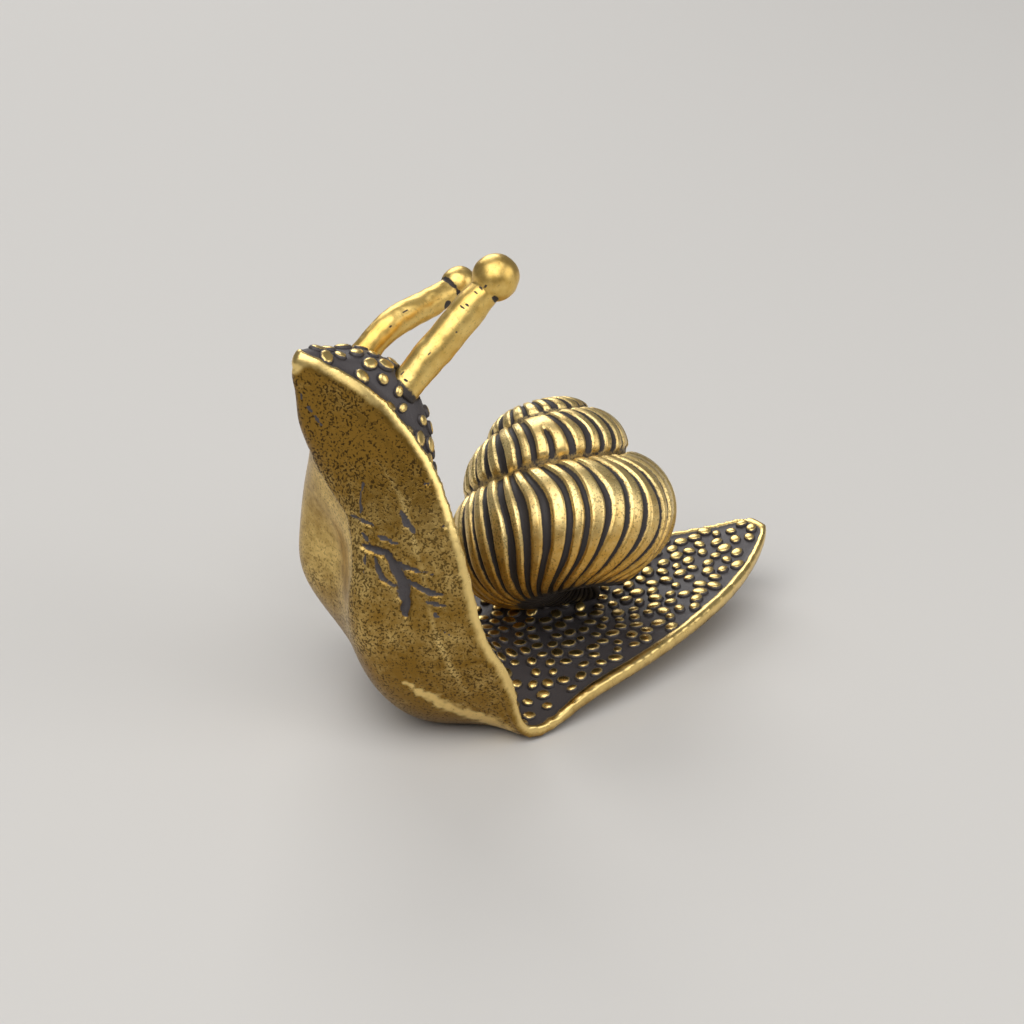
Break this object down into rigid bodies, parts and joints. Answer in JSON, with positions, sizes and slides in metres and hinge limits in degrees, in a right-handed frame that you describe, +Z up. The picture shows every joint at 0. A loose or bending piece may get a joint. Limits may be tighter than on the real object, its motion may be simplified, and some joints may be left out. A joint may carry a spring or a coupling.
{
  "type": "snail figurine",
  "caption": "Cast brass snail ornament with a bent foot, a raised head, a ribbed spiral shell and back-swept eye stalks; stands free on a flat patch under the shell.",
  "frame": {"origin": "middle of the flat resting patch under the foot", "axes": "+X towards the tail, +Y towards the snail's right side, +Z up"},
  "size_m": [0.0383, 0.018, 0.0307],
  "materials": {
    "antique_brass": "aged, dark in the recesses and pits, polished on the rims and bumps",
    "shell_brass": "polished ribs with near-black grooves",
    "polished_brass": "polished, with worn dents and dark creases"
  },
  "bodies": {
    "root": {"foot_and_head": "antique_brass", "shell": "shell_brass", "left_eye_stalk": "polished_brass", "right_eye_stalk": "polished_brass"}
  },
  "joints": []
}
